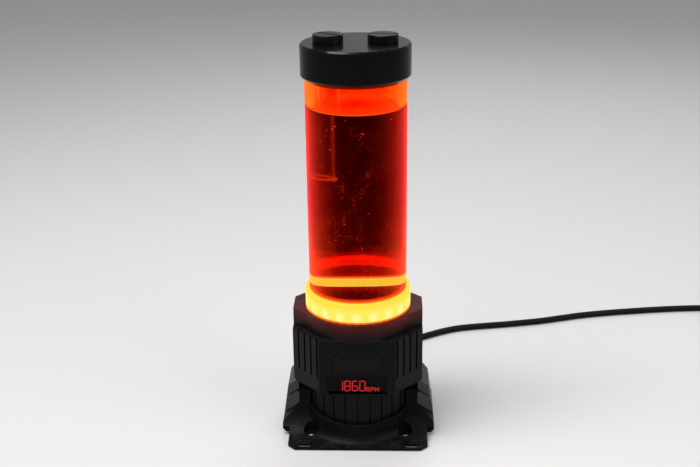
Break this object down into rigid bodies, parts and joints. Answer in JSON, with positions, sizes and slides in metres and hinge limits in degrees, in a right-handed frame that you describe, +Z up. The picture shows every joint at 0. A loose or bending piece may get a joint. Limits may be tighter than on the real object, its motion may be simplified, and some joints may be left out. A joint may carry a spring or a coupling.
{
  "type": "coolant pump reservoir",
  "caption": "Coolant pump with a clear tube reservoir on top: lit ring, red coolant, two screw plugs, speed display and a cable to a small connector.",
  "frame": {"origin": "on the floor, under the middle of the base, on the tank's axis", "axes": "+Z up along the tank, front with the display towards -Y, +X to the right seen from the front"},
  "size_m": [0.3753, 0.2094, 0.2487],
  "materials": {
    "body_plastic": "fine textured black",
    "trim_plastic": "satin dark grey",
    "rubber_black": "matte",
    "screw_steel": "zinc plated",
    "board": "satin solder mask",
    "component_black": "satin",
    "stator_steel": "laminated steel",
    "copper": "enamelled copper wire",
    "shaft_ceramic": "polished ceramic",
    "bush_carbon": "graphite",
    "ferrite": "matt ferrite",
    "impeller_plastic": "natural",
    "smoked_window": "smoked clear",
    "led_red": "glowing red",
    "led_dark": "unlit",
    "white_board": "matte white",
    "led_white": "glowing",
    "ring_diffuser": "glowing frosted acrylic",
    "acrylic": "clear polished",
    "coolant": "red liquid",
    "cap_plastic": "satin black acetal",
    "plug_plastic": "satin black"
  },
  "bodies": {
    "pump": {"base_bracket": "body_plastic", "left_upper_trim": "trim_plastic", "left_lower_trim": "trim_plastic", "right_upper_trim": "trim_plastic", "right_lower_trim": "trim_plastic", "rubber_feet": "rubber_black", "base_screws": "screw_steel", "damping_ring": "rubber_black", "motor_housing": "body_plastic", "controller_board": "board", "board_components": "component_black", "board_screws": "screw_steel", "stator_core": "stator_steel", "stator_windings": "copper", "motor_can": "body_plastic", "can_seal": "rubber_black", "rotor_shaft": "shaft_ceramic", "pump_body": "body_plastic", "pump_screws": "screw_steel", "shell_floor": "body_plastic", "shell_screws": "screw_steel", "housing_shell": "body_plastic", "front_panel": "body_plastic", "badge_plate": "body_plastic", "display_window": "smoked_window", "display_board": "board", "lit_segments": "led_red", "unlit_segments": "led_dark", "led_board": "white_board", "ring_leds": "led_white", "light_ring": "ring_diffuser", "tube_seal": "rubber_black", "reservoir_tube": "acrylic", "coolant": "coolant", "dip_tube": "acrylic", "top_cap": "cap_plastic", "cap_seal": "rubber_black", "strain_relief": "rubber_black", "power_cable": "rubber_black", "cable_coil": "rubber_black", "cable_tie": "component_black", "cable_connector": "component_black"},
    "rotor": {"impeller": "impeller_plastic", "rotor_magnet": "ferrite", "bearing_bush": "bush_carbon"},
    "fill_plug_seal_body": {"fill_plug_seal": "rubber_black"},
    "fill_plug_body": {"fill_plug": "plug_plastic"},
    "vent_plug_seal_body": {"vent_plug_seal": "rubber_black"},
    "vent_plug_body": {"vent_plug": "plug_plastic"}
  },
  "joints": [
    {"name": "rotor_spin", "type": "hinge", "parent": "pump", "child": "rotor", "pos_m": [0, 0, 0.03], "axis": [0, 0, 1], "continuous": true},
    {"name": "fill_rise", "type": "slide", "parent": "pump", "child": "fill_plug_seal_body", "axis": [0, 0, 1], "range_m": [0, 0.00668]},
    {"name": "fill_turn", "type": "hinge", "parent": "fill_plug_seal_body", "child": "fill_plug_body", "pos_m": [-0.0158, 0, 0.244], "axis": [0, 0, 1], "range_deg": [0, 1800]},
    {"name": "vent_rise", "type": "slide", "parent": "pump", "child": "vent_plug_seal_body", "axis": [0, 0, 1], "range_m": [0, 0.00668]},
    {"name": "vent_turn", "type": "hinge", "parent": "vent_plug_seal_body", "child": "vent_plug_body", "pos_m": [0.0158, 0, 0.244], "axis": [0, 0, 1], "range_deg": [0, 1800]}
  ],
  "couplings": [
    {"joint": "fill_rise", "follows": "fill_turn", "m_per_rad": 0.00021279},
    {"joint": "vent_rise", "follows": "vent_turn", "m_per_rad": 0.00021279}
  ]
}
